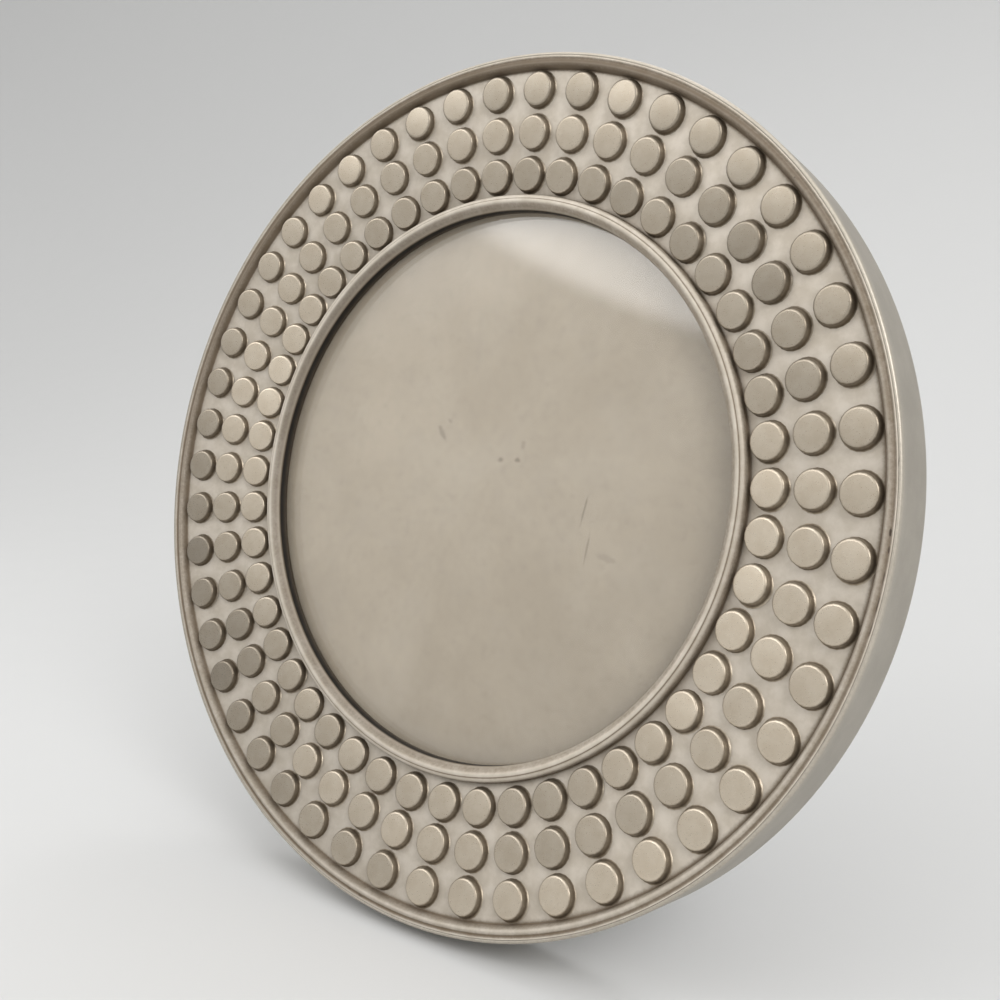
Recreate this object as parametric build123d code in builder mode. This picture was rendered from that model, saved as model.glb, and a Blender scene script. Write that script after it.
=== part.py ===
from build123d import *
import os
from math import asin, cos, pi, radians, sin, sqrt

# Round table photo frame: a dished plate with three rows of flat studs, set in a deep rim, with glass, print
# and boards behind it, held by four turn buttons and propped on a hinged strut.
# Millimetres. X is to the right, Z is up, the frame faces -Y and leans back. The origin is on the table,
# in the middle of the space that the standing frame takes up.

# Stance
lean_angle = 12.0  # the face leans back from upright
strut_angle = 18.0  # opening between the panel and the strut

# Rim
overall_diameter = 190.8
lip_width = 0.7  # front lip outside the seam
lip_round = 0.45
lip_inner_round = 0.15
back_edge_round = 0.5
back_ring_width = 12.5  # flat ring round the panel that carries the turn buttons

# Face plate. Depths are measured back from the crest of the lip
plate_thickness = 1.2
bond_line = 0.1  # glue between the plate and its seat in the rim
seam_gap = 0.2  # fine groove between the plate's bead and the lip
bead_width = 2.35
bead_crest_width = 0.5
bead_crest_depth = 0.05
bead_round = 0.27
field_edge_depth = 2.25  # foot of the bead
dish_edge_angle = 8.6  # slope of the studded field at the bead, falling towards the glass
dish_radius = 290.0  # the field is slightly domed in section, steepest at the bezel
bezel_width = 3.4
bezel_height = 2.4  # above the field at the bezel's foot
bezel_crest_width = 1.9
bezel_crest_rise = 0.25
bezel_round = 0.45
sight_bevel_drop = 1.7  # from the crest to the sight edge
sight_land = 2.6  # straight wall from the sight edge to the glass

# Studs
row_names = ("studs_outer", "studs_middle", "studs_inner")
stud_diameter = 8.0
stud_height = 1.7
stud_round = 0.5
stud_bedding = 0.3  # blank below the field, trimmed to the plate
stud_edge_gap = 0.35  # between the outer row and the foot of the bead
stud_row_gap = 0.85  # between one row and the next
stud_bezel_gap = 0.9  # between the inner row and the bezel
stud_side_gap = 1.1  # least space between neighbours in the inner row
outer_row_phase = 2.2
row_phase_step = 0.3  # each row inwards is turned on by this much

# Glass, print and boards
print_lap = 1.7  # of the bezel over the edge of a 5 in round print
pack_clearance = 0.5  # print and glass in their rebate
flange_clearance = 0.3  # plate's flange in the same rebate
glass_thickness = 2.0
card_thickness = 0.4
filler_thickness = 1.3
panel_thickness = 2.5
panel_clearance = 0.3
panel_chamfer = 0.4

# Turn buttons and their screws
button_count = 4
button_first_angle = 45.0
button_thickness = 1.0
button_pivot_radius = 4.5
button_tip_radius = 3.0
button_reach = 10.0  # from the pivot to the centre of the tip
button_gap = 0.1  # above the ring, and again under the screw head
screw_radius = 1.5
screw_grip = 7.0  # length in the rim
screw_tip_room = 0.5
screw_head_radius = 3.0
screw_head_height = 1.6
screw_head_round = 1.0
screw_slot_length = 3.6
screw_slot_width = 0.8
screw_slot_depth = 0.8
pivot_clearance = 0.06
thread_clearance = 0.03

# Strut and hinge
hinge_rise = 20.0  # pin above the middle of the frame
strut_thickness = 3.0
strut_top_width = 34.0
strut_foot_width = 44.0
strut_corner_round = 3.0
strut_top_room = 1.0  # between the knuckles and the strut's top edge
folded_gap = 0.2  # between the folded strut and the panel, and under the knuckles
leaf_thickness = 1.0
leaf_width = 30.0
panel_leaf_height = 15.0
strut_leaf_height = 18.0
leaf_corner_round = 1.5
knuckle_wall = 1.0
knuckle_gap = 0.3
knuckle_length = 11.0  # middle knuckle
pin_radius = 1.0
pin_press_clearance = 0.02
pin_running_clearance = 0.06
heel_length = 4.0  # tongue past the knuckle that stops the strut on the panel leaf
heel_gap = 0.05
rivet_radius = 1.25
rivet_head_radius = 2.2
rivet_head_height = 0.8
rivet_head_round = 0.6
rivet_clearance = 0.03
rivet_spacing = 18.0

# Radii worked out from these
rim_radius = overall_diameter / 2
seam_radius = rim_radius - lip_width
plate_radius = seam_radius - seam_gap
field_radius = plate_radius - bead_width
outer_row_radius = field_radius - stud_edge_gap - stud_diameter / 2
row_radii = [outer_row_radius - row * (stud_diameter + stud_row_gap) for row in range(len(row_names))]
studs_per_row = int(2 * pi * row_radii[-1] / (stud_diameter + stud_side_gap))
bezel_radius = row_radii[-1] - stud_diameter / 2 - stud_bezel_gap
sight_radius = bezel_radius - bezel_width
print_radius = sight_radius + print_lap
rebate_radius = print_radius + pack_clearance
flange_radius = rebate_radius - flange_clearance
panel_rebate_radius = rim_radius - back_ring_width
panel_radius = panel_rebate_radius - panel_clearance
pivot_circle_radius = rim_radius - back_ring_width / 2
knuckle_radius = pin_radius + knuckle_wall
dish_centre_radius = field_radius + dish_radius * sin(radians(dish_edge_angle))
dish_centre_depth = field_edge_depth + dish_radius * cos(radians(dish_edge_angle))
seat_below = plate_thickness + bond_line  # the rim's seat below the field


# Depth of the domed field, or of a surface that lies a given distance below it
def field_depth(radius, below=0):
    return dish_centre_depth - sqrt((dish_radius - below) ** 2 - (dish_centre_radius - radius) ** 2)


def field_angle(radius):
    return asin((dish_centre_radius - radius) / dish_radius)


def field_arc(inner_radius, outer_radius, below=0):
    middle_radius = (inner_radius + outer_radius) / 2
    arc_radii = (inner_radius, middle_radius, outer_radius)
    ThreePointArc(*[(radius, -field_depth(radius, below)) for radius in arc_radii])


# Depths, from the bezel back to the panel's outer face
bezel_outer_depth = field_depth(bezel_radius) - bezel_height
bezel_crest_depth = bezel_outer_depth - bezel_crest_rise
sight_edge_depth = bezel_crest_depth + sight_bevel_drop
glass_depth = sight_edge_depth + sight_land
card_depth = glass_depth + glass_thickness
filler_depth = card_depth + card_thickness
panel_depth = filler_depth + filler_thickness
rim_depth = panel_depth + panel_thickness
button_depth = rim_depth + button_gap
screw_head_depth = button_depth + button_thickness + button_gap
pin_depth = rim_depth + folded_gap + knuckle_radius

# The strut's two faces, measured from the pin away from the panel
strut_front = -knuckle_radius
strut_back = strut_front + strut_thickness

# The frame stands on the back edge of its rim and on the foot of the strut, on one table
lean_sin = sin(radians(lean_angle))
lean_cos = cos(radians(lean_angle))
strut_sin = sin(radians(strut_angle - lean_angle))
strut_cos = cos(radians(strut_angle - lean_angle))
edge_circle_radius = rim_radius - back_edge_round
edge_circle_depth = rim_depth - back_edge_round
centre_height = edge_circle_radius * lean_cos + edge_circle_depth * lean_sin + back_edge_round
pin_height = centre_height + hinge_rise * lean_cos - pin_depth * lean_sin
foot_length = (pin_height + strut_back * strut_sin) / strut_cos

# The origin lies midway between the front of the lip and whatever reaches furthest back
pin_reach = hinge_rise * lean_sin + pin_depth * lean_cos
lip_reach = (rim_radius - lip_round) * lean_sin - lip_round * lean_cos + lip_round
rim_reach = edge_circle_radius * lean_sin + edge_circle_depth * lean_cos + back_edge_round
foot_reach = pin_reach + foot_length * strut_sin + strut_back * strut_cos
centre_y = (lip_reach - max(rim_reach, foot_reach)) / 2

right = Vector(1, 0, 0)
up_face = Vector(0, lean_sin, lean_cos)
out_front = Vector(0, -lean_cos, lean_sin)
out_strut = Vector(0, strut_cos, strut_sin)
down_strut = Vector(0, strut_sin, -strut_cos)
centre = Vector(0, centre_y, centre_height)
pin_centre = centre + up_face * hinge_rise - out_front * pin_depth

frame_axis = Axis(centre, out_front)
section_plane = Plane(origin=centre, x_dir=right, z_dir=-up_face)  # radius across, height towards the front
hinge_plane = Plane(origin=pin_centre, x_dir=up_face, z_dir=-right)  # up the panel, then away from it
strut_side_plane = Plane(origin=pin_centre, x_dir=down_strut, z_dir=right)  # down the strut, then off it


def back_plane(depth):
    return Plane(origin=centre - out_front * depth, x_dir=-right, z_dir=-out_front)


def strut_face_plane(height):
    return Plane(origin=pin_centre + out_strut * height, x_dir=right, z_dir=out_strut)


os.makedirs("parts", exist_ok=True)


def save(piece, name):
    piece.part.label = name
    export_step(piece.part, f"parts/{name}.step")


# Rim: side wall and lip outside, seat for the plate in front, rebates for the glass and the panel behind
with BuildPart() as rim_body:
    with BuildSketch(section_plane):
        with BuildLine():
            FilletPolyline(
                (seam_radius, -field_depth(seam_radius, seat_below)),
                (seam_radius, 0),
                (rim_radius, 0),
                (rim_radius, -rim_depth),
                (panel_rebate_radius, -rim_depth),
                (panel_rebate_radius, -panel_depth),
                (rebate_radius, -panel_depth),
                (rebate_radius, -field_depth(rebate_radius, seat_below)),
                radius=[lip_inner_round, lip_round, back_edge_round, 0, 0, 0],
            )
            field_arc(rebate_radius, seam_radius, seat_below)
        make_face()
    revolve(axis=frame_axis)
    with BuildSketch(back_plane(rim_depth)):
        with PolarLocations(pivot_circle_radius, button_count, button_first_angle):
            Circle(screw_radius + thread_clearance)
    extrude(amount=-(screw_grip + screw_tip_room), mode=Mode.SUBTRACT)
save(rim_body, "rim_body")

# Face plate: outer bead, dished field, raised bezel and a flange that the glass lies against
with BuildPart() as face_plate:
    with BuildSketch(section_plane):
        with BuildLine():
            FilletPolyline(
                (flange_radius, -field_depth(flange_radius, plate_thickness)),
                (flange_radius, -glass_depth),
                (sight_radius, -glass_depth),
                (sight_radius, -sight_edge_depth),
                (bezel_radius - bezel_crest_width, -bezel_crest_depth),
                (bezel_radius, -bezel_outer_depth),
                (bezel_radius, -field_depth(bezel_radius)),
                radius=[0, 0] + [bezel_round] * 3,
            )
            field_arc(bezel_radius, field_radius)
            FilletPolyline(
                (field_radius, -field_edge_depth),
                (plate_radius - bead_crest_width, -bead_crest_depth),
                (plate_radius, -bead_crest_depth),
                (plate_radius, -field_depth(plate_radius, plate_thickness)),
                radius=[bead_round] * 2,
            )
            field_arc(flange_radius, plate_radius, plate_thickness)
        make_face()
    revolve(axis=frame_axis)
save(face_plate, "face_plate")

# One stud: a flat disc with a rounded top edge, standing square to the dished field
with BuildPart() as stud:
    with BuildSketch(Plane.XZ):
        with BuildLine():
            FilletPolyline(
                (0, -stud_bedding),
                (stud_diameter / 2, -stud_bedding),
                (stud_diameter / 2, stud_height),
                (0, stud_height),
                radius=[0, 0, stud_round, 0],
                close=True,
            )
        make_face()
    revolve(axis=Axis.Z)


def stud_place(row_radius, angle):
    across = right * cos(angle) + up_face * sin(angle)
    tilt = field_angle(row_radius)
    square = out_front * cos(tilt) - across * sin(tilt)
    seat = centre + across * row_radius - out_front * field_depth(row_radius)
    return Location(Plane(origin=seat, x_dir=across.cross(square), z_dir=square))


# Three rows of studs, each stud trimmed to sit on the plate
for row, (row_name, row_radius) in enumerate(zip(row_names, row_radii)):
    row_phase = outer_row_phase + row * row_phase_step
    stud_angles = [radians(row_phase + step * 360 / studs_per_row) for step in range(studs_per_row)]
    with BuildPart() as stud_row:
        with Locations(*[stud_place(row_radius, angle) for angle in stud_angles]):
            add(stud.part)
        add(face_plate.part, mode=Mode.SUBTRACT)
    save(stud_row, row_name)

# Glass, print and filler lie behind the plate's flange, one against the next
for sheet_name, sheet_depth, sheet_thickness in (
    ("glass", glass_depth, glass_thickness),
    ("print_card", card_depth, card_thickness),
    ("filler_board", filler_depth, filler_thickness),
):
    with BuildPart() as sheet:
        with BuildSketch(back_plane(sheet_depth)):
            Circle(print_radius)
        extrude(amount=sheet_thickness)
    save(sheet, sheet_name)

# Back panel, with the holes for the hinge's two rivets
panel_rivet_rise = hinge_rise + (knuckle_radius + panel_leaf_height) / 2
panel_rivet_places = [(side * rivet_spacing / 2, panel_rivet_rise) for side in (-1, 1)]
with BuildPart() as back_panel:
    with BuildSketch(back_plane(panel_depth)):
        Circle(panel_radius)
        with Locations(*panel_rivet_places):
            Circle(rivet_radius + rivet_clearance, mode=Mode.SUBTRACT)
    extrude(amount=panel_thickness)
    outer_face = back_panel.faces().sort_by(Axis(centre, -out_front))[-1]
    chamfer(outer_face.edges().sort_by(SortBy.RADIUS)[-1], panel_chamfer)
save(back_panel, "back_panel")

# Turn buttons: flat drops of sheet metal, each on its own screw in the back ring
pivots = []
for number in range(button_count):
    angle = radians(button_first_angle + number * 360 / button_count)
    inward = right * cos(angle) - up_face * sin(angle)
    pivots.append(centre - inward * pivot_circle_radius)
    with BuildPart() as turn_button:
        with BuildSketch(Plane(origin=pivots[-1] - out_front * button_depth, x_dir=inward, z_dir=-out_front)):
            Circle(button_pivot_radius)
            with Locations((button_reach, 0)):
                Circle(button_tip_radius)
            make_hull()
            Circle(screw_radius + pivot_clearance, mode=Mode.SUBTRACT)
        extrude(amount=button_thickness)
    save(turn_button, f"turn_button_{number + 1}")


def headed_pin(radius, length, head_radius, head_height, head_round):
    with BuildPart() as headed:
        with BuildSketch(Plane.XZ):
            with BuildLine():
                FilletPolyline(
                    (0, -length),
                    (radius, -length),
                    (radius, 0),
                    (head_radius, 0),
                    (head_radius, head_height),
                    (0, head_height),
                    radius=[0, 0, 0, 0, head_round, 0],
                    close=True,
                )
            make_face()
        revolve(axis=Axis.Z)
    return headed.part


# Pivot screws, with a round head and a cross slot
screw_length = screw_grip + screw_head_depth - rim_depth
screw_blank = headed_pin(screw_radius, screw_length, screw_head_radius, screw_head_height, screw_head_round)
with BuildPart() as screw:
    add(screw_blank)
    with BuildSketch(Plane.XY.offset(screw_head_height)):
        Rectangle(screw_slot_length, screw_slot_width)
        Rectangle(screw_slot_width, screw_slot_length)
    extrude(amount=-screw_slot_depth, mode=Mode.SUBTRACT)
with BuildPart() as turn_button_screws:
    head_seats = [pivot - out_front * screw_head_depth for pivot in pivots]
    with Locations(*[Plane(origin=seat, z_dir=-out_front) for seat in head_seats]):
        add(screw.part)
save(turn_button_screws, "turn_button_screws")

# Panel leaf of the hinge: a plate on the panel, with a knuckle at each end of the pin
with BuildPart() as hinge_panel_leaf:
    with BuildSketch(back_plane(rim_depth)) as panel_leaf_outline:
        with Locations((0, hinge_rise + panel_leaf_height / 2)):
            Rectangle(leaf_width, panel_leaf_height)
        fillet(panel_leaf_outline.vertices().group_by(Axis.Y)[-1], leaf_corner_round)
        with Locations(*panel_rivet_places):
            Circle(rivet_radius + rivet_clearance, mode=Mode.SUBTRACT)
    extrude(amount=leaf_thickness)
    with BuildSketch(hinge_plane):
        Circle(knuckle_radius)
    extrude(amount=leaf_width / 2, both=True)
    with BuildSketch(hinge_plane):
        Circle(knuckle_radius + knuckle_gap)
    extrude(amount=knuckle_length / 2 + knuckle_gap, both=True, mode=Mode.SUBTRACT)
    with BuildSketch(hinge_plane):
        Circle(pin_radius + pin_press_clearance)
    extrude(amount=leaf_width / 2, both=True, mode=Mode.SUBTRACT)
save(hinge_panel_leaf, "hinge_panel_leaf")

# Strut leaf: a plate on the strut's back, the middle knuckle, and a heel that meets the panel leaf when open
strut_leaf_top = knuckle_radius + knuckle_gap
strut_rivet_drop = (strut_leaf_top + strut_leaf_height) / 2
strut_rivet_places = [(side * rivet_spacing / 2, strut_rivet_drop) for side in (-1, 1)]
neck_length = strut_rivet_drop - rivet_head_radius
neck_low = min(strut_back, knuckle_radius - leaf_thickness)
neck_high = max(strut_back + leaf_thickness, knuckle_radius)
heel_low = folded_gap + knuckle_radius - leaf_thickness - heel_gap  # heel's underside, in front of the pin
with BuildPart() as hinge_strut_leaf:
    with BuildSketch(strut_face_plane(strut_back)) as strut_leaf_outline:
        with Locations((0, (strut_leaf_top + strut_leaf_height) / 2)):
            Rectangle(leaf_width, strut_leaf_height - strut_leaf_top)
        fillet(strut_leaf_outline.vertices(), leaf_corner_round)
        with Locations(*strut_rivet_places):
            Circle(rivet_radius + rivet_clearance, mode=Mode.SUBTRACT)
    extrude(amount=leaf_thickness)
    with BuildSketch(strut_side_plane):
        Circle(knuckle_radius)
        with Locations((0, neck_low)):
            Rectangle(neck_length, neck_high - neck_low, align=(Align.MIN, Align.MIN))
    extrude(amount=knuckle_length / 2, both=True)
    with BuildSketch(hinge_plane):
        with Locations((0, -heel_low)):
            Rectangle(knuckle_radius + heel_length, leaf_thickness, align=(Align.MIN, Align.MIN))
    extrude(amount=knuckle_length / 2, both=True)
    with BuildSketch(hinge_plane):
        Circle(pin_radius + pin_running_clearance)
    extrude(amount=knuckle_length / 2, both=True, mode=Mode.SUBTRACT)
save(hinge_strut_leaf, "hinge_strut_leaf")

# Hinge pin
with BuildPart() as hinge_pin:
    with BuildSketch(hinge_plane):
        Circle(pin_radius)
    extrude(amount=leaf_width / 2, both=True)
save(hinge_pin, "hinge_pin")

# Strut: a tapered board, its foot cut flat for the table
with BuildPart() as strut:
    with BuildSketch(strut_face_plane(strut_front)) as strut_outline:
        with BuildLine():
            Polyline(
                (-strut_top_width / 2, knuckle_radius + strut_top_room),
                (strut_top_width / 2, knuckle_radius + strut_top_room),
                (strut_foot_width / 2, foot_length + strut_thickness),
                (-strut_foot_width / 2, foot_length + strut_thickness),
                close=True,
            )
        make_face()
        fillet(strut_outline.vertices().group_by(Axis.Y)[0], strut_corner_round)
        with Locations(*strut_rivet_places):
            Circle(rivet_radius + rivet_clearance, mode=Mode.SUBTRACT)
    extrude(amount=strut_thickness)
    split(bisect_by=Plane.XY, keep=Keep.TOP)
    fillet(strut.edges().group_by(Axis.Z)[0].sort_by(SortBy.LENGTH)[:2], strut_corner_round)
save(strut, "strut")

# Rivets: their tails are set flush in the far face of the panel and of the strut
panel_rivet = headed_pin(
    rivet_radius, leaf_thickness + panel_thickness, rivet_head_radius, rivet_head_height, rivet_head_round
)
with BuildPart() as panel_rivets:
    rivet_seat = back_plane(rim_depth + leaf_thickness)
    with Locations(*[rivet_seat * Location((x, y, 0)) for x, y in panel_rivet_places]):
        add(panel_rivet)
save(panel_rivets, "panel_rivets")

strut_rivet = headed_pin(
    rivet_radius, leaf_thickness + strut_thickness, rivet_head_radius, rivet_head_height, rivet_head_round
)
with BuildPart() as strut_rivets:
    rivet_seat = strut_face_plane(strut_back + leaf_thickness)
    with Locations(*[rivet_seat * Location((x, y, 0)) for x, y in strut_rivet_places]):
        add(strut_rivet)
save(strut_rivets, "strut_rivets")

print("rim depth", round(rim_depth, 3), "strut length", round(foot_length, 2))
print("pin", [round(value, 3) for value in pin_centre])
print("centre", [round(value, 3) for value in centre])
for number, pivot in enumerate(pivots):
    print("pivot", number + 1, [round(value, 3) for value in pivot - out_front * button_depth])
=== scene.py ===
import math
import random

import bmesh
import bpy
from mathutils import Matrix, Vector


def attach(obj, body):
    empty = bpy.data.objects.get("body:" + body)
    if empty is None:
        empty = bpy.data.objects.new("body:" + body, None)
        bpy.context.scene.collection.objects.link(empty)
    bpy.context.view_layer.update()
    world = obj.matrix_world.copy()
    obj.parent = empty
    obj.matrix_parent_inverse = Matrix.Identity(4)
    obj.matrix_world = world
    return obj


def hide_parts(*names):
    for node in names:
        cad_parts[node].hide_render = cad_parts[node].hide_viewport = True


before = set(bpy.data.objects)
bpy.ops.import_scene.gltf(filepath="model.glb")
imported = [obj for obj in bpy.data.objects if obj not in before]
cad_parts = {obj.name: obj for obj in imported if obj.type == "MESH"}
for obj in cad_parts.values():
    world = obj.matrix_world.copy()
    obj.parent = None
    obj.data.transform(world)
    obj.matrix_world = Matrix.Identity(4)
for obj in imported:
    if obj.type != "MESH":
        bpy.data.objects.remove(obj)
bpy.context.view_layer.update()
random.seed(48)
mm = 0.001

# how the frame stands: the middle of the lip's crest, and the lean of the face
stance = dict(centre=(0.0, -7.573, 96.443), lean=12.0)
leanTurn = math.radians(90 - stance["lean"])
faceCentre = Vector(stance["centre"]) * mm
# on the face, x is right, y is up and z points out
faceMatrix = Matrix.Translation(faceCentre) @ Matrix.Rotation(leanTurn, 4, "X")
print("frame loaded")

# section of the frame in millimetres, with depths back from the lip's crest
stack = dict(
    edgeRadius=92.15, edgeDepth=2.25, edgeAngle=8.6, domeRadius=290.0,  # the field's outer edge, and its dome
    plateBack=1.2, seatBelow=1.3,  # back of the plate and its seat, below the field
    bezelRadius=65.2, bezelHeight=2.4, crestRise=0.25, bevelDrop=1.7, land=2.6,  # bezel, down to the glass
    glass=2.0, card=0.4, filler=1.3, panel=2.5)  # thicknesses
domeCentreRadius = stack["edgeRadius"] + stack["domeRadius"] * math.sin(math.radians(stack["edgeAngle"]))
domeCentreDepth = stack["edgeDepth"] + stack["domeRadius"] * math.cos(math.radians(stack["edgeAngle"]))


# the domed field falls towards the glass, steepest at the bezel
def fieldDepth(radius, below=0.0):
    return domeCentreDepth - math.sqrt((stack["domeRadius"] - below) ** 2 - (domeCentreRadius - radius) ** 2)


def fieldTilt(radius):
    return math.asin((domeCentreRadius - radius) / stack["domeRadius"])


crestDepth = fieldDepth(stack["bezelRadius"]) - stack["bezelHeight"] - stack["crestRise"]
sightDepth = crestDepth + stack["bevelDrop"]
glassDepth = sightDepth + stack["land"]
cardDepth = glassDepth + stack["glass"]
fillerDepth = cardDepth + stack["card"]
panelDepth = fillerDepth + stack["filler"]
rimDepth = panelDepth + stack["panel"]


# node helpers
def paint(red, green, blue):
    return tuple(((c / 255 + 0.055) / 1.055) ** 2.4 for c in (red, green, blue)) + (1.0,)


def addNode(tree, kind, inputs=None, **settings):
    node = tree.nodes.new(kind)
    for key, value in settings.items():
        setattr(node, key, value)
    for key, value in (inputs or {}).items():
        if isinstance(value, bpy.types.NodeSocket):
            tree.links.new(value, node.inputs[key])
        else:
            node.inputs[key].default_value = value
    return node


def calc(tree, operation, first, second=0.0, third=0.0):
    return addNode(tree, "ShaderNodeMath", {0: first, 1: second, 2: third}, operation=operation).outputs[0]


def blendColour(tree, factor, first, second, mode="MIX"):
    inputs = {0: factor, 6: first, 7: second}  # 6 and 7 are the mix node's colours
    return addNode(tree, "ShaderNodeMix", inputs, data_type="RGBA", blend_type=mode).outputs[2]


# low and high bound the part of a noise that counts
def remap(tree, value, low, high, toLow=0.0, toHigh=1.0, kind="SMOOTHSTEP"):
    inputs = {"Value": value, "From Min": low, "From Max": high, "To Min": toLow, "To Max": toHigh}
    return addNode(tree, "ShaderNodeMapRange", inputs, interpolation_type=kind).outputs[0]


def noise(tree, place, scale, detail=2.0, roughness=0.5):
    inputs = {"Vector": place, "Scale": scale, "Detail": detail, "Roughness": roughness}
    return addNode(tree, "ShaderNodeTexNoise", inputs).outputs[0]


def attribute(tree, name):
    return addNode(tree, "ShaderNodeAttribute", attribute_name=name).outputs["Fac"]


def newFinish(name):
    finish = bpy.data.materials.new(name)
    finish.use_nodes = True
    return finish, finish.node_tree, finish.node_tree.nodes["Principled BSDF"]


def addBump(tree, shader, height, strength, distance):
    bump = addNode(tree, "ShaderNodeBump", {"Height": height, "Strength": strength, "Distance": distance})
    tree.links.new(bump.outputs[0], shader.inputs["Normal"])


# place on the face: metres from the middle of the lip's crest
def facePlace(tree):
    coords = addNode(tree, "ShaderNodeTexCoord").outputs["Object"]
    inputs = {"Vector": coords, "Location": faceCentre, "Rotation": (leanTurn, 0, 0)}
    return addNode(tree, "ShaderNodeMapping", inputs, vector_type="TEXTURE").outputs[0]


# ragged spots on the face: x, y, half width, half height, turn, strength
markLook = dict(tornScale=700.0, solid=0.4, gone=0.95, reach=3)  # reach is how deep a mark goes


def addMarks(tree, place, colour, marks, markColour, tear, depth=0.0):
    torn = noise(tree, place, markLook["tornScale"], 4.0, 0.7)
    solid = markLook["solid"] + tear / 2
    gone = markLook["gone"] + tear / 2
    for x, y, wide, tall, turn, strength in marks:
        inputs = {"Vector": place, "Location": (x * mm, y * mm, -depth * mm), "Rotation": (0, 0, -turn)}
        inputs["Scale"] = (wide * mm, tall * mm, markLook["reach"] * mm)
        spot = addNode(tree, "ShaderNodeMapping", inputs, vector_type="TEXTURE").outputs[0]
        away = addNode(tree, "ShaderNodeVectorMath", {0: spot}, operation="LENGTH").outputs["Value"]
        ragged = calc(tree, "MULTIPLY_ADD", torn, tear, away)
        colour = blendColour(tree, remap(tree, ragged, solid, gone, strength, 0.0), colour, markColour)
    return colour


# cast metal with a pale wash, dark patina in the corners and rubbed high edges
seamChips = ((93.9, -2.5, 0.3, 1.3, 0.0, 0.95), (93.9, -5.6, 0.25, 0.8, 0.0, 0.7),
             (93.5, -10.2, 0.2, 1.5, 0.1, 0.6), (93.0, -14.6, 0.2, 2.2, 0.16, 0.65),
             (92.2, -19.4, 0.22, 1.9, 0.2, 0.55), (94.2, 9.5, 0.2, 1.4, 0.0, 0.4),
             (-11.6, -93.4, 0.9, 0.22, 0.12, 0.6), (-15.0, -92.9, 0.5, 0.2, 0.16, 0.5),
             (70.5, 60.9, 0.3, 0.3, 0.0, 0.5))
# the near-black colour for the deep gaps is a painted shadow
castLook = dict(paintedShadow=paint(22, 18, 14), chipColour=paint(58, 45, 33), chipTear=1.0,
                speckScale=1300.0, grainScale=4200.0, grainHeight=0.25, bumpReach=0.0002,
                glossSpread=0.03, dirtGloss=0.22, wearGloss=-0.1)
fieldLook = dict(castLook, base=paint(198, 189, 176), shade=paint(180, 170, 155), dark=paint(92, 75, 53),
                 bright=paint(232, 223, 207), cloudScale=240.0, patinaBreak=0.42, patinaDepth=0.85,
                 wearDepth=0.8, rough=0.48, metallic=0.3, swell=0.6, bump=0.16, chips=seamChips)
studLook = dict(castLook, base=paint(186, 175, 158), shade=paint(179, 167, 149), dark=paint(80, 67, 50),
                bright=paint(230, 220, 203), cloudScale=300.0, patinaBreak=0.2, patinaDepth=0.9,
                wearDepth=0.6, rough=0.29, metallic=0.75, swell=0.3, bump=0.007, chips=())
rimLook = dict(castLook, base=paint(158, 151, 139), shade=paint(149, 142, 130), dark=paint(84, 70, 52),
               bright=paint(228, 218, 202), cloudScale=120.0, patinaBreak=0.7, patinaDepth=0.9,
               wearDepth=0.85, rough=0.42, metallic=0.5, swell=0.5, bump=0.06, chips=seamChips)


def castMetal(name, look):
    finish, tree, shader = newFinish(name)
    place = facePlace(tree)
    patinaAndShade = attribute(tree, "patinaAndShade")
    cloud = noise(tree, place, look["cloudScale"], 4.0, 0.6)
    speck = noise(tree, place, look["speckScale"], 4.0, 0.65)
    grain = noise(tree, place, look["grainScale"], 2.0, 0.5)
    # washed base, uneven from place to place
    colour = blendColour(tree, remap(tree, cloud, 0.3, 0.7), look["shade"], look["base"])
    # painted light and shade: the tone layer brightens or darkens the base round the ring and from row to row
    colour = blendColour(tree, 1.0, colour, calc(tree, "ADD", attribute(tree, "paintedLightAndTone"), 1.0), "MULTIPLY")
    # patina settles in the corners, broken up by specks; where patina passes 1 the deep gaps turn near black,
    # a painted shadow
    settled = calc(tree, "MULTIPLY_ADD", calc(tree, "SUBTRACT", speck, 0.5), look["patinaBreak"], patinaAndShade)
    dirtAndShade = remap(tree, settled, 0.1, 0.95, 0.0, look["patinaDepth"])
    colour = blendColour(tree, dirtAndShade, colour, look["dark"])
    colour = blendColour(tree, remap(tree, patinaAndShade, 1.0, 1.5), colour, look["paintedShadow"])
    # rubbed bright on the high edges
    rub = calc(tree, "MULTIPLY", attribute(tree, "wear"), remap(tree, speck, 0.25, 0.7, 0.45, 1.0))
    rub = calc(tree, "MULTIPLY", rub, look["wearDepth"])
    colour = blendColour(tree, rub, colour, look["bright"])
    colour = addMarks(tree, place, colour, look["chips"], look["chipColour"], look["chipTear"])
    tree.links.new(colour, shader.inputs["Base Color"])
    # gloss follows grain, patina and wear
    smooth = look["rough"] - look["glossSpread"]
    dull = look["rough"] + look["glossSpread"]
    gloss = remap(tree, grain, 0.2, 0.8, smooth, dull, "LINEAR")
    gloss = calc(tree, "MULTIPLY_ADD", dirtAndShade, look["dirtGloss"], gloss)
    gloss = calc(tree, "MULTIPLY_ADD", rub, look["wearGloss"], gloss)
    tree.links.new(gloss, shader.inputs["Roughness"])
    shader.inputs["Metallic"].default_value = look["metallic"]
    # fine casting grain on a soft unevenness
    fine = calc(tree, "MULTIPLY", grain, look["grainHeight"])
    height = calc(tree, "MULTIPLY_ADD", cloud, look["swell"], fine)
    addBump(tree, shader, height, look["bump"], look["bumpReach"])
    return finish
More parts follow.
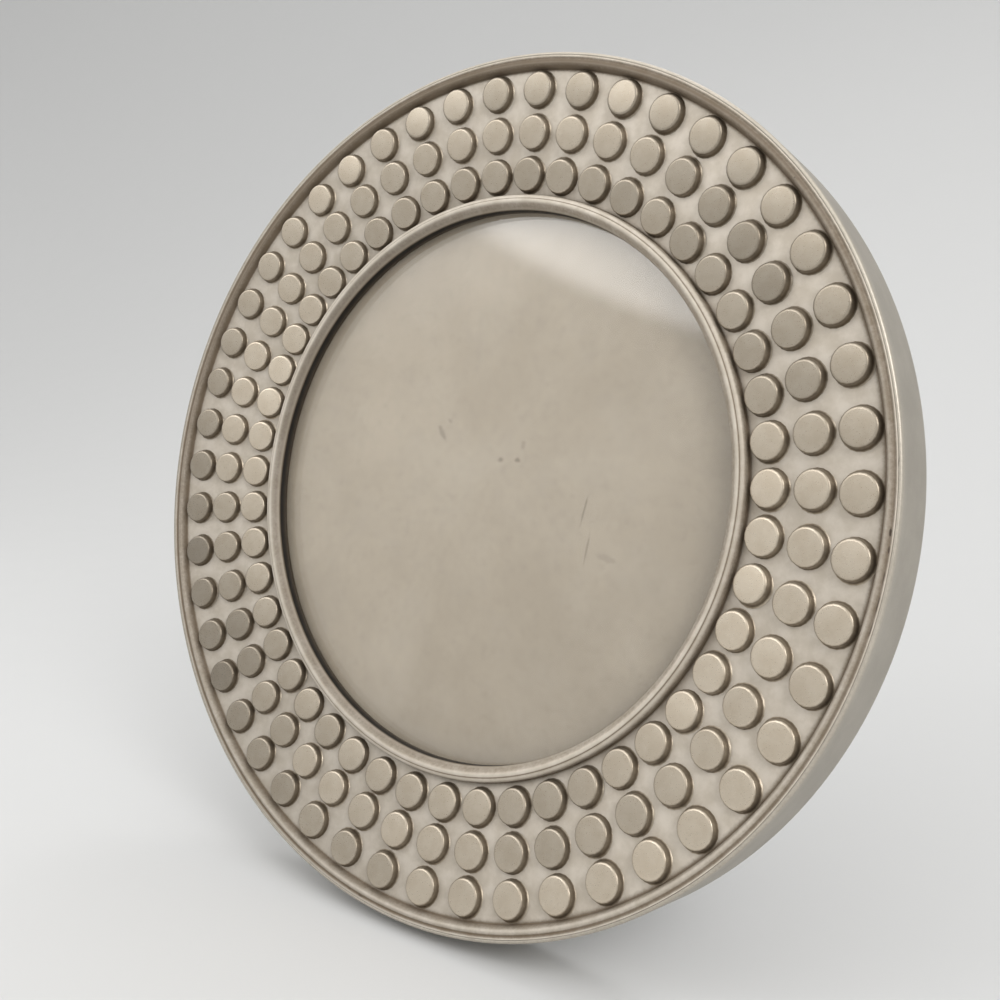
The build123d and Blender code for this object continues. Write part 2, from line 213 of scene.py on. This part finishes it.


# plain card behind the glass: mottled, with a few scuffs; a painted shade darkens it towards the lower right
# and a painted light brightens the upper left
cardLook = dict(
    base=paint(181, 168, 152), shade=paint(169, 156, 140), scuff=paint(116, 105, 92),
    cloudScale=38.0, fibreScale=1500.0, mottleScale=420.0, mottleDepth=0.16,
    shadeAlong=(0.7, -0.7, 0), shadeFrom=-0.045, shadeTo=0.055, paintedLitEnd=1.04, paintedShadeEnd=0.9,
    rough=0.72, glossSpread=0.08, specular=0.2, bump=0.06, bumpReach=0.0001, tear=1.3,
    scuffs=((-13.6, 10.5, 2.6, 0.9, 0.9, 0.42), (-11.6, 13.4, 1.2, 0.6, 0.5, 0.35),
            (4.2, 5.2, 1.1, 0.8, 0.0, 0.62), (8.8, 5.4, 1.15, 0.85, 0.0, 0.62),
            (9.8, 8.8, 0.8, 1.5, 0.0, 0.3), (27.4, -4.5, 0.34, 4.2, 0.16, 0.55),
            (29.2, -12.0, 0.36, 4.6, 0.1, 0.45), (34.0, -13.5, 3.4, 1.0, 0.2, 0.22)))


def paperCard(name, look):
    finish, tree, shader = newFinish(name)
    place = facePlace(tree)
    cloud = noise(tree, place, look["cloudScale"], 5.0, 0.6)
    fibre = noise(tree, place, look["fibreScale"], 3.0, 0.6)
    mottle = noise(tree, place, look["mottleScale"], 5.0, 0.75)
    colour = blendColour(tree, remap(tree, cloud, 0.25, 0.75), look["shade"], look["base"])
    colour = blendColour(tree, remap(tree, fibre, 0.5, 0.8, 0.0, 0.4), colour, look["shade"])
    mottled = remap(tree, mottle, 0.48, 0.75, 0.0, look["mottleDepth"])
    colour = blendColour(tree, mottled, colour, look["scuff"])
    # painted light and shade: the card brighter at the upper left and darker towards the lower right
    inputs = {0: place, 1: look["shadeAlong"]}
    across = addNode(tree, "ShaderNodeVectorMath", inputs, operation="DOT_PRODUCT").outputs["Value"]
    paintedShade = remap(tree, across, look["shadeFrom"], look["shadeTo"], look["paintedLitEnd"], look["paintedShadeEnd"],
                 "LINEAR")
    colour = blendColour(tree, 1.0, colour, paintedShade, "MULTIPLY")
    colour = addMarks(tree, place, colour, look["scuffs"], look["scuff"], look["tear"], cardDepth)
    tree.links.new(colour, shader.inputs["Base Color"])
    smooth = look["rough"] - look["glossSpread"]
    dull = look["rough"] + look["glossSpread"]
    tree.links.new(remap(tree, fibre, 0.2, 0.8, smooth, dull), shader.inputs["Roughness"])
    shader.inputs["Specular IOR Level"].default_value = look["specular"]
    addBump(tree, shader, fibre, look["bump"], look["bumpReach"])
    return finish


# clear pane with a film of dust, which lets the light through to the card
paneLook = dict(tint=(0.985, 0.98, 0.97, 1), ior=1.5, rough=0.04, passing=(0.96, 0.97, 0.96, 1),
                dust=paint(190, 186, 178), smearScale=55.0, dustDepth=0.05)


def paneGlass(name, look):
    finish, tree, shader = newFinish(name)
    shader.inputs["Base Color"].default_value = look["tint"]
    shader.inputs["Transmission Weight"].default_value = 1.0
    shader.inputs["IOR"].default_value = look["ior"]
    shader.inputs["Roughness"].default_value = look["rough"]
    smear = noise(tree, facePlace(tree), look["smearScale"], 5.0, 0.65)
    dusty = remap(tree, smear, 0.35, 0.75, 0.0, look["dustDepth"])
    film = addNode(tree, "ShaderNodeBsdfDiffuse", {"Color": look["dust"]})
    dusted = addNode(tree, "ShaderNodeMixShader", {0: dusty, 1: shader.outputs[0], 2: film.outputs[0]})
    path = addNode(tree, "ShaderNodeLightPath")
    clear = addNode(tree, "ShaderNodeBsdfTransparent", {"Color": look["passing"]})
    through = calc(tree, "MAXIMUM", path.outputs["Is Shadow Ray"], path.outputs["Is Diffuse Ray"])
    mix = addNode(tree, "ShaderNodeMixShader", {0: through, 1: dusted.outputs[0], 2: clear.outputs[0]})
    tree.links.new(mix.outputs[0], tree.nodes["Material Output"].inputs["Surface"])
    return finish


# flocked board: short dark pile with lint and brushed patches
flockLook = dict(base=paint(80, 71, 63), shade=paint(52, 46, 41), lint=paint(134, 124, 113),
                 brushTurn=0.3, brushPull=0.3, brushScale=90.0, tuftScale=700.0, pileScale=3800.0,
                 lintScale=620.0, sheen=0.5, sheenRough=0.45, sheenTint=paint(190, 176, 160),
                 tuftHeight=0.6, bump=0.6, bumpReach=0.0003)


def flockedBoard(name, look):
    finish, tree, shader = newFinish(name)
    place = facePlace(tree)
    inputs = {"Vector": place, "Rotation": (0, 0, look["brushTurn"]), "Scale": (1.0, look["brushPull"], 1.0)}
    stroked = addNode(tree, "ShaderNodeMapping", inputs).outputs[0]
    brushed = noise(tree, stroked, look["brushScale"], 4.0, 0.65)
    tuft = noise(tree, place, look["tuftScale"], 3.0, 0.7)
    pile = noise(tree, place, look["pileScale"], 3.0, 0.7)
    lint = noise(tree, place, look["lintScale"], 1.0, 0.3)
    colour = blendColour(tree, remap(tree, brushed, 0.3, 0.7), look["shade"], look["base"])
    colour = blendColour(tree, remap(tree, tuft, 0.4, 0.7, 0.0, 0.45), colour, look["shade"])
    colour = blendColour(tree, remap(tree, pile, 0.3, 0.8, 0.4, 0.0), colour, look["shade"])
    colour = blendColour(tree, remap(tree, lint, 0.77, 0.81, 0.0, 0.45), colour, look["lint"])
    tree.links.new(colour, shader.inputs["Base Color"])
    tree.links.new(remap(tree, pile, 0.2, 0.8, 0.85, 1.0), shader.inputs["Roughness"])
    shader.inputs["Sheen Weight"].default_value = look["sheen"]
    shader.inputs["Sheen Roughness"].default_value = look["sheenRough"]
    shader.inputs["Sheen Tint"].default_value = look["sheenTint"]
    height = calc(tree, "MULTIPLY_ADD", tuft, look["tuftHeight"], pile)
    addBump(tree, shader, height, look["bump"], look["bumpReach"])
    return finish


# plated steel of the fittings: drawn grain, dulled in clouds
steelLook = dict(drawnPull=0.06, drawnScale=3200.0, cloudScale=300.0, polished=-0.06, dulled=0.1,
                 drawnGloss=0.1, metallic=0.9, bump=0.12, bumpReach=0.0001)


def platedSteel(name, base, dull, rough):
    finish, tree, shader = newFinish(name)
    place = facePlace(tree)
    inputs = {"Vector": place, "Scale": (1.0, steelLook["drawnPull"], 1.0)}
    stretched = addNode(tree, "ShaderNodeMapping", inputs).outputs[0]
    drawn = noise(tree, stretched, steelLook["drawnScale"], 3.0, 0.6)
    cloud = noise(tree, place, steelLook["cloudScale"], 4.0, 0.6)
    colour = blendColour(tree, remap(tree, cloud, 0.4, 0.75, 0.0, 0.6), base, dull)
    colour = blendColour(tree, remap(tree, drawn, 0.55, 0.8, 0.0, 0.4), colour, dull)
    tree.links.new(colour, shader.inputs["Base Color"])
    gloss = remap(tree, cloud, 0.3, 0.7, rough + steelLook["polished"], rough + steelLook["dulled"])
    gloss = calc(tree, "MULTIPLY_ADD", drawn, steelLook["drawnGloss"], gloss)
    tree.links.new(gloss, shader.inputs["Roughness"])
    shader.inputs["Metallic"].default_value = steelLook["metallic"]
    addBump(tree, shader, drawn, steelLook["bump"], steelLook["bumpReach"])
    return finish


# grey filler board, pulp with flecks
pulpLook = dict(base=paint(150, 140, 122), fleck=paint(118, 108, 92), fleckScale=900.0, bump=0.3,
                bumpReach=0.0002)


def pulpBoard(name, look):
    finish, tree, shader = newFinish(name)
    fleck = noise(tree, facePlace(tree), look["fleckScale"], 4.0, 0.7)
    colour = blendColour(tree, remap(tree, fleck, 0.4, 0.7), look["base"], look["fleck"])
    tree.links.new(colour, shader.inputs["Base Color"])
    tree.links.new(remap(tree, fleck, 0.2, 0.8, 0.85, 0.98), shader.inputs["Roughness"])
    addBump(tree, shader, fleck, look["bump"], look["bumpReach"])
    return finish


fieldMetal = castMetal("face_metal", fieldLook)
studMetal = castMetal("stud_metal", studLook)
rimMetal = castMetal("rim_metal", rimLook)
cardPaper = paperCard("print_paper", cardLook)
clearPane = paneGlass("pane_glass", paneLook)
boardFlock = flockedBoard("backing_board", flockLook)
fillerPulp = pulpBoard("filler_card", pulpLook)
hingeSteel = platedSteel("hinge_steel", paint(196, 190, 178), paint(150, 143, 130), 0.34)
rivetSteel = platedSteel("rivet_steel", paint(190, 184, 172), paint(140, 133, 120), 0.36)
screwSteel = platedSteel("screw_steel", paint(186, 181, 170), paint(128, 122, 110), 0.38)
buttonSteel = platedSteel("button_steel", paint(200, 194, 182), paint(156, 149, 136), 0.36)
print("finishes made")


def finishPiece(name, bm, material, body, slot, *nodes):
    mesh = bpy.data.meshes.new(name)
    bm.to_mesh(mesh)
    bm.free()
    for face in mesh.polygons:
        face.use_smooth = True
    piece = bpy.data.objects.new(name, mesh)
    bpy.context.scene.collection.objects.link(piece)
    mesh.materials.append(material)
    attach(piece, body)
    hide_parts(*nodes)


# a ring or disc turned from a section: each point is radius, height, patina, wear; patina past 1 is a
# near-black painted shadow
turned = dict(ringSteps=288, discSteps=192, mergeReach=0.000001, axis=(0, 0, 1), middle=(0, 0, 0))


def turnSection(bm, section, steps, closed):
    patinaAndShade = bm.verts.layers.float.new("patinaAndShade")
    wear = bm.verts.layers.float.new("wear")
    verts = []
    for radius, height, dirtAndShade, rub in section:
        vert = bm.verts.new((radius * mm, 0, height * mm))
        vert[patinaAndShade] = dirtAndShade
        vert[wear] = rub
        verts.append(vert)
    edges = [bm.edges.new(pair) for pair in zip(verts, verts[1:])]
    if closed:
        edges.append(bm.edges.new((verts[-1], verts[0])))
    bmesh.ops.spin(bm, geom=verts + edges, cent=turned["middle"], axis=turned["axis"], angle=math.tau,
                   steps=steps, use_merge=True)
    bmesh.ops.remove_doubles(bm, verts=bm.verts[:], dist=turned["mergeReach"])
    bmesh.ops.recalc_face_normals(bm, faces=bm.faces[:])


# slow change round a ring: each wave is cycles, size, phase
def wave(waves, turn):
    return sum(size * math.cos(cycles * turn - math.radians(phase)) for cycles, size, phase in waves)


def clockOf(vert):
    return math.atan2(vert.co.x, vert.co.y)


# painted light: a tone layer that brightens and darkens the metal in slow waves round the ring
def addPaintedLight(bm, waves):
    paintedLightAndTone = bm.verts.layers.float.new("paintedLightAndTone")
    for vert in bm.verts:
        vert[paintedLightAndTone] = wave(waves, clockOf(vert))
    return paintedLightAndTone


lipPaintedLight = ((1, 0.22, 35),)  # painted light: the lip is brighter towards the upper right and darker towards the lower left
hiddenDirt = 1.0  # patina of faces that lie inside the frame

# face plate: sight edge, bezel, field, bead
facePlate = dict(
    # land on the glass: radius, patina; its patina past 1 paints the land near black, a painted shadow under
    # the sight edge
    land=((63.7, 1.4), (61.85, 1.2)),
    # bezel, from the sight edge over the crest to its foot: radius, below the crest, patina, wear; patina
    # past 1 at the sight edge and at the foot is painted shadow
    bezel=((61.85, 3.4, 1.35, 0.0), (61.82, 2.3, 1.5, 0.0), (61.8, 1.95, 1.3, 0.0), (61.83, 1.7, 0.9, 0.1),
           (61.95, 1.5, 0.6, 0.2), (62.4, 0.96, 0.58, 0.0), (62.9, 0.43, 0.5, 0.0), (63.15, 0.19, 0.36, 0.1),
           (63.4, 0.03, 0.24, 0.25), (63.8, 0.0, 0.24, 0.25), (63.95, 0.03, 0.4, 0.15),
           (64.08, 0.12, 0.85, 0.0), (64.22, 0.12, 0.35, 0.15), (64.5, 0.15, 0.22, 0.25),
           (64.82, 0.3, 0.3, 0.2), (65.0, 0.55, 0.5, 0.0), (65.12, 0.95, 0.6, 0.0),
           (65.17, 1.6, 0.75, 0.0), (65.2, 2.3, 1.1, 0.0)),
    # field: gap from the bezel, patina; patina past 1 against the bezel's foot is painted shadow
    field=((0.02, 1.2), (0.14, 0.8), (0.4, 0.36), (0.9, 0.12), (2.0, 0.1), (4.0, 0.07), (7.0, 0.07),
           (10.0, 0.07), (13.0, 0.07), (16.0, 0.07), (19.0, 0.07), (22.0, 0.07), (24.6, 0.08), (25.8, 0.12),
           (26.4, 0.25)),
    # bead, groove and outer edge: radius, below the lip's crest, patina, wear; patina past 1 down the plate's
    # outer edge is painted shadow in the gap to the rim
    bead=((91.95, 2.3, 0.6, 0.0), (92.12, 2.27, 0.95, 0.0), (92.2, 2.0, 1.0, 0.0), (92.3, 1.45, 0.85, 0.0),
          (92.45, 0.92, 0.72, 0.0), (92.65, 0.5, 0.62, 0.0), (92.85, 0.28, 0.62, 0.05),
          (93.1, 0.18, 0.6, 0.1), (93.35, 0.19, 0.66, 0.0), (93.6, 0.27, 0.76, 0.0), (93.8, 0.38, 0.86, 0.0),
          (93.98, 0.44, 0.9, 0.0), (94.16, 0.38, 0.8, 0.0), (94.32, 0.25, 0.5, 0.05), (94.46, 0.15, 0.2, 0.2),
          (94.58, 0.1, 0.12, 0.25), (94.62, 0.15, 0.25, 0.1), (94.62, 0.5, 1.2, 0.0), (94.5, 0.9, 1.5, 0.0),
          (94.5, 3.2, 1.6, 0.0)),
    backRadii=(88.0, 80.0, 72.0, 63.7),
    # painted light round the ring, brighter towards the upper right
    paintedLight=((1, 0.11, 40), (3, 0.05, 83)),
    bevelInside=63.2, bevelPaintedLight=((1, 0.32, 118),), lipOutside=94.3,
    # waves of patina round the ring: painted shade where the bead faces away from the light, darkest at the
    # top of its slope and crest, and uneven patina elsewhere: from radius, to radius, waves
    shadeAndPatinaWaves=((63.9, 64.9, ((1, 0.2, 110),)),  # band of the bezel
              (91.3, 92.15, ((1, 0.3, 105),)),  # foot of the bead
              (92.15, 92.8, ((1, 0.21, 0),)),  # slope of the bead
              (92.8, 93.7, ((1, 0.33, 345),)),  # crest of the bead
              (93.7, 94.3, ((1, 0.1, 255),))))  # groove


def makeFacePlate():
    section = [(radius, -glassDepth, dirtAndShade, 0.0) for radius, dirtAndShade in facePlate["land"]]
    for radius, below, dirtAndShade, rub in facePlate["bezel"]:
        section.append((radius, -crestDepth - below, dirtAndShade, rub))
    for gap, dirtAndShade in facePlate["field"]:
        radius = stack["bezelRadius"] + gap
        section.append((radius, -fieldDepth(radius), dirtAndShade, 0.0))
    for radius, below, dirtAndShade, rub in facePlate["bead"]:
        section.append((radius, -below, dirtAndShade, rub))
    for radius in facePlate["backRadii"]:
        section.append((radius, -fieldDepth(radius, stack["plateBack"]), hiddenDirt, 0.0))
    bm = bmesh.new()
    turnSection(bm, section, turned["ringSteps"], True)
    # painted light: the face is brighter towards the upper right and darker towards the lower left
    paintedLightAndTone = addPaintedLight(bm, facePlate["paintedLight"])
    patinaAndShade = bm.verts.layers.float["patinaAndShade"]
    for vert in bm.verts:
        reach = vert.co.xy.length
        # painted light: the bevel brighter at the lower right, where it faces the light, and darker at the
        # upper left
        if reach < facePlate["bevelInside"] * mm:
            vert[paintedLightAndTone] += wave(facePlate["bevelPaintedLight"], clockOf(vert))
        # painted light: the plate's outer edge brighter towards the upper right, like the lip
        if reach > facePlate["lipOutside"] * mm:
            vert[paintedLightAndTone] += wave(lipPaintedLight, clockOf(vert))
        # painted shade and uneven patina: patina waves round the ring, darkest on the bead's top where it
        # faces away from the light
        if vert.co.z > -sightDepth * mm:
            for inside, outside, waves in facePlate["shadeAndPatinaWaves"]:
                if inside * mm < reach < outside * mm:
                    vert[patinaAndShade] += wave(waves, clockOf(vert))
    bmesh.ops.transform(bm, matrix=faceMatrix, verts=bm.verts[:])
    finishPiece("facePlate", bm, fieldMetal, "frame", "face_metal", "face_plate")


makeFacePlate()
print("face plate made")

# rim: lip, side wall, back ring, rebates
rim = dict(
    # seat of the plate, lip and side wall: radius, below the lip's crest, patina, wear; patina past 1 on the
    # lip's inner wall is painted shadow in the gap to the plate
    front=((94.7, 3.6, 1.6, 0.0), (94.7, 0.9, 1.4, 0.0), (94.66, 0.5, 1.0, 0.0), (94.66, 0.15, 0.25, 0.1),
           (94.7, 0.09, 0.12, 0.25), (94.82, 0.02, 0.1, 0.35), (94.98, 0.0, 0.05, 0.4),
           (95.13, 0.06, 0.0, 0.4), (95.27, 0.19, 0.0, 0.35), (95.36, 0.36, 0.0, 0.3), (95.4, 0.6, 0.0, 0.2),
           (95.4, 1.6, 0.0, 0.1), (95.4, 3.2, 0.0, 0.0), (95.4, 6.0, 0.0, 0.0), (95.4, 9.0, 0.0, 0.0),
           (95.4, 12.0, 0.0, 0.0)),
    # back edge and back ring: radius, ahead of the back, patina, wear
    back=((95.4, 1.2, 0.05, 0.0), (95.4, 0.5, 0.1, 0.15), (95.33, 0.25, 0.1, 0.4), (95.18, 0.07, 0.1, 0.5),
          (94.9, 0.0, 0.1, 0.3), (93.9, 0.0, 0.05, 0.0), (89.2, 0.0, 0.0, 0.0), (84.0, 0.0, 0.05, 0.0),
          (83.1, 0.0, 0.2, 0.35), (82.9, 0.15, 0.3, 0.4), (82.9, 1.0, 0.8, 0.0)),
    panelRebate=82.9, glassRebate=64.0, rebateTop=9.4, seatRadii=(72.0, 80.0, 88.0),
    # painted light round the ring, brighter towards the upper right
    paintedLight=((1, 0.1, 40), (2, 0.05, 0)), lipBelow=0.7)


def makeRim():
    section = [(radius, -below, dirtAndShade, rub) for radius, below, dirtAndShade, rub in rim["front"]]
    section += [(radius, -rimDepth + ahead, dirtAndShade, rub) for radius, ahead, dirtAndShade, rub in rim["back"]]
    section.append((rim["panelRebate"], -panelDepth, hiddenDirt, 0.0))
    section.append((rim["glassRebate"], -panelDepth, hiddenDirt, 0.0))
    section.append((rim["glassRebate"], -rim["rebateTop"], hiddenDirt, 0.0))
    for radius in rim["seatRadii"]:
        section.append((radius, -fieldDepth(radius, stack["seatBelow"]), hiddenDirt, 0.0))
    bm = bmesh.new()
    turnSection(bm, section, turned["ringSteps"], True)
    # painted light: the rim brighter towards the upper right, the lip more so
    paintedLightAndTone = addPaintedLight(bm, rim["paintedLight"])
    for vert in bm.verts:
        if vert.co.z > -rim["lipBelow"] * mm:
            vert[paintedLightAndTone] += wave(lipPaintedLight, clockOf(vert))
    bmesh.ops.transform(bm, matrix=faceMatrix, verts=bm.verts[:])
    finishPiece("rimRing", bm, rimMetal, "frame", "rim_metal", "rim_body")


makeRim()
print("rim made")

# discs behind the plate: glass, card, filler and flocked panel, each with its own chamfered edge
discs = dict(glassRadius=63.5, panelRadius=82.6, glassEdge=0.25, cardEdge=0.08, fillerEdge=0.2, panelEdge=0.4,
             cardGap=0.04)  # air on both sides of the card


def makeDisc(name, radius, front, thickness, edge, material, slot, node):
    # reach and inset of one side, with two more rings to keep its shading flat
    side = ((0.0, 0.0), (radius * 0.5, 0.0), (radius - edge * 3, 0.0), (radius - edge, 0.0), (radius, edge))
    back = front + thickness
    section = [(reach, -front - inset, 0.0, 0.0) for reach, inset in side]
    section += [(reach, -back + inset, 0.0, 0.0) for reach, inset in reversed(side)]
    bm = bmesh.new()
    turnSection(bm, section, turned["discSteps"], False)
    bmesh.ops.transform(bm, matrix=faceMatrix, verts=bm.verts[:])
    finishPiece(name, bm, material, "frame", slot, node)


makeDisc("glassPane", discs["glassRadius"], glassDepth, stack["glass"], discs["glassEdge"],
         clearPane, "pane_glass", "glass")
cardThickness = stack["card"] - 2 * discs["cardGap"]
makeDisc("plainCard", discs["glassRadius"], cardDepth + discs["cardGap"], cardThickness, discs["cardEdge"],
         cardPaper, "print_paper", "print_card")
makeDisc("fillerPad", discs["glassRadius"], fillerDepth, stack["filler"], discs["fillerEdge"],
         fillerPulp, "filler_card", "filler_board")
makeDisc("backPanel", discs["panelRadius"], panelDepth, stack["panel"], discs["panelEdge"],
         boardFlock, "backing_board", "back_panel")
print("glass, card and boards made")

# studs: flat discs in three rows, laid by hand
# spacing drifts in slow waves, each row's lift and slow tone waves are painted light and shade over a small
# random tone, and each stud sits a little askew
studs = dict(
    count=48, sides=20, askew=0.9, toneSpread=0.04,
    section=((4.38, -0.06, 0.3, 0.0), (4.15, 0.08, 0.55, 0.0), (4.0, 0.35, 0.85, 0.0),
             (3.86, 1.15, 0.6, 0.0), (3.74, 1.48, 0.64, 0.0), (3.52, 1.685, 0.3, 0.0),
             (3.2, 1.705, 0.0, 0.0), (0.0, 1.705, 0.0, 0.0)),
    rows=dict(
        outer=dict(node="studs_outer", rowLight=-0.07, radius=87.8, clock=5.28, out=((1, 0.2, 35),),
                   along=((3, 0.25, 10), (1, 0.2, -130)), paintedLightAndTone=((2, 0.2, -90), (1, 0.15, 105))),
        middle=dict(node="studs_middle", rowLight=0.0, radius=78.95, clock=5.02, out=((6, 0.15, 170),),
                    along=((3, 0.25, 45), (5, 0.2, -95)), paintedLightAndTone=((2, 0.15, -105), (4, 0.15, 30))),
        inner=dict(node="studs_inner", rowLight=0.05, radius=70.1, clock=4.67, out=((1, 0.3, -140),),
                   along=((5, 0.3, -80), (2, 0.25, 130)), paintedLightAndTone=((2, 0.2, -155), (4, 0.1, 30)))))


def makeStudRow(rowName, row):
    single = bmesh.new()
    turnSection(single, studs["section"], studs["sides"], False)
    single.verts.layers.float.new("paintedLightAndTone")
    studMesh = bpy.data.meshes.new("stud")
    single.to_mesh(studMesh)
    single.free()
    bm = bmesh.new()
    for number in range(studs["count"]):
        turn = math.tau * number / studs["count"]
        radius = row["radius"] + wave(row["out"], turn)
        clock = math.radians(row["clock"]) + turn + wave(row["along"], turn) / row["radius"]
        start = len(bm.verts)
        bm.from_mesh(studMesh)
        bm.verts.ensure_lookup_table()
        verts = bm.verts[start:]
        lightAndToneLayer = bm.verts.layers.float["paintedLightAndTone"]
        # painted light and shade: the row's lift and tone waves, plus a small random tone
        paintedLightAndTone = row["rowLight"] + wave(row["paintedLightAndTone"], turn) + random.gauss(0, studs["toneSpread"])
        for vert in verts:
            vert[lightAndToneLayer] = paintedLightAndTone
        askew = Matrix.Rotation(math.radians(random.gauss(0, studs["askew"])), 4, "X")
        askew = askew @ Matrix.Rotation(math.radians(random.gauss(0, studs["askew"])), 4, "Y")
        seat = Matrix.Rotation(math.pi / 2 - clock, 4, "Z")
        seat = seat @ Matrix.Translation((radius * mm, 0, -fieldDepth(radius) * mm))
        seat = seat @ Matrix.Rotation(-fieldTilt(radius), 4, "Y") @ askew
        bmesh.ops.transform(bm, matrix=faceMatrix @ seat, verts=verts)
    bpy.data.meshes.remove(studMesh)
    finishPiece("studs" + rowName.capitalize(), bm, studMetal, "frame", "stud_metal", row["node"])


for rowName, row in studs["rows"].items():
    makeStudRow(rowName, row)
print("studs made")

# fittings keep their CAD shape, with a small rounding on the stamped edges
fittings = dict(
    hinge_panel_leaf=(hingeSteel, 0.12), hinge_strut_leaf=(hingeSteel, 0.12), hinge_pin=(hingeSteel, 0.15),
    panel_rivets=(rivetSteel, 0.08), strut_rivets=(rivetSteel, 0.08), turn_button_screws=(screwSteel, 0.1),
    turn_button_1=(buttonSteel, 0.18), turn_button_2=(buttonSteel, 0.18), turn_button_3=(buttonSteel, 0.18),
    turn_button_4=(buttonSteel, 0.18), strut=(boardFlock, 0.4))
edgeLook = dict(weldReach=0.000002, segments=2, sharperThan=35)
for node, (material, rounding) in fittings.items():
    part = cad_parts[node]
    part.data.materials.clear()
    part.data.materials.append(material)
    weld = part.modifiers.new("weld", "WELD")
    weld.merge_threshold = edgeLook["weldReach"]
    bevel = part.modifiers.new("rounding", "BEVEL")
    bevel.width = rounding * mm
    bevel.segments = edgeLook["segments"]
    bevel.limit_method = "ANGLE"
    bevel.angle_limit = math.radians(edgeLook["sharperThan"])
print("fittings finished")

# camera at the photograph's viewing angle
cameraLook = dict(place=(147.98, -192.01, 125.69), pitch=5.457, turn=36.327, lens=39.158, shiftY=-0.054,
                  clipStart=0.01)
camera = bpy.data.objects.new("camera", bpy.data.cameras.new("camera"))
bpy.context.scene.collection.objects.link(camera)
camera.location = Vector(cameraLook["place"]) * mm
camera.rotation_euler = (math.radians(90 - cameraLook["pitch"]), 0, math.radians(cameraLook["turn"]))
camera.data.lens = cameraLook["lens"]
camera.data.shift_y = cameraLook["shiftY"]
camera.data.clip_start = cameraLook["clipStart"]
bpy.context.scene.camera = camera

# pale sweep, in metres: floor that curves up into the backdrop
sweep = dict(front=-1.6, bend=0.2, curve=0.95, segments=32, top=2.2, half=2.4, colour=paint(209, 209, 208),
             grainScale=40.0)


def makeSweep():
    bm = bmesh.new()
    wall = sweep["bend"] + sweep["curve"]
    outline = ((sweep["front"], 0), (wall, 0), (wall, sweep["top"]))
    corners = [bm.verts.new((-sweep["half"], y, z)) for y, z in outline]
    edges = [bm.edges.new(pair) for pair in zip(corners, corners[1:])]
    made = bmesh.ops.extrude_edge_only(bm, edges=edges)["geom"]
    moved = [item for item in made if isinstance(item, bmesh.types.BMVert)]
    bmesh.ops.translate(bm, vec=(2 * sweep["half"], 0, 0), verts=moved)
    fold = [edge for edge in bm.edges if len(edge.link_faces) == 2]
    bmesh.ops.bevel(bm, geom=fold, offset=sweep["curve"], affect="EDGES", segments=sweep["segments"],
                    profile=0.5, material=-1)
    bmesh.ops.recalc_face_normals(bm, faces=bm.faces[:])
    mesh = bpy.data.meshes.new("sweep")
    bm.to_mesh(mesh)
    bm.free()
    for face in mesh.polygons:
        face.use_smooth = True
    piece = bpy.data.objects.new("sweep", mesh)
    bpy.context.scene.collection.objects.link(piece)
    finish, tree, shader = newFinish("sweep")
    coords = addNode(tree, "ShaderNodeTexCoord").outputs["Object"]
    grain = noise(tree, coords, sweep["grainScale"])
    shader.inputs["Base Color"].default_value = sweep["colour"]
    tree.links.new(remap(tree, grain, 0.3, 0.7, 0.85, 0.95), shader.inputs["Roughness"])
    mesh.materials.append(finish)


makeSweep()

# soft studio light, in metres and watts; the strip makes the glare on the glass
lampAim = (0, 0, 0.1)
lamps = dict(
    frontHigh=dict(place=(-0.4, -0.7, 0.82), size=(0.6, 0.4), power=2.9),
    strip=dict(place=(-0.39, -0.7, 0.54), size=(0.58, 0.15), power=0.78, fadeStart=0.32, roll=-9.0),
    left=dict(place=(-0.6, -0.45, 0.6), size=(0.6, 0.6), power=1.8),
    right=dict(place=(0.6, -0.35, 0.55), size=(0.6, 0.6), power=10.5),
    back=dict(place=(-0.1, 0.5, 0.9), size=(0.7, 0.4), power=3.5))


# a panel that fades from fadeStart, a share of its width, out to its edge
def makeLamp(name, place, size, power, fadeStart=0.05, roll=0.0):
    lamp = bpy.data.lights.new(name, "AREA")
    lamp.shape = "RECTANGLE"
    lamp.size, lamp.size_y = size
    lamp.energy = power
    lamp.use_nodes = True
    tree = lamp.node_tree
    inputs = {0: addNode(tree, "ShaderNodeNewGeometry").outputs["Parametric"], 1: (0.5, 0.5, 0)}
    away = addNode(tree, "ShaderNodeVectorMath", inputs, operation="DISTANCE").outputs["Value"]
    tree.links.new(remap(tree, away, 0.5, fadeStart), tree.nodes["Emission"].inputs["Strength"])
    holder = bpy.data.objects.new(name, lamp)
    bpy.context.scene.collection.objects.link(holder)
    holder.location = place
    facing = (Vector(lampAim) - Vector(place)).to_track_quat("-Z", "Y").to_matrix()
    holder.rotation_euler = (facing @ Matrix.Rotation(math.radians(roll), 3, "Z")).to_euler()


for name, settings in lamps.items():
    makeLamp(name, **settings)

# white surroundings, brighter overhead
skyLook = dict(level=0.54, overhead=1.17, fullAt=0.9)
world = bpy.data.worlds.new("studio")
bpy.context.scene.world = world
world.use_nodes = True
skyTree = world.node_tree
sky = skyTree.nodes["Background"]
sky.inputs["Color"].default_value = (1, 1, 1, 1)
outward = addNode(skyTree, "ShaderNodeTexCoord").outputs["Generated"]
height = addNode(skyTree, "ShaderNodeSeparateXYZ", {0: outward}).outputs["Z"]
strength = remap(skyTree, height, 0.0, skyLook["fullAt"], skyLook["level"], skyLook["overhead"], "LINEAR")
skyTree.links.new(strength, sky.inputs["Strength"])

bpy.context.scene.view_settings.view_transform = "Standard"
print("studio made")
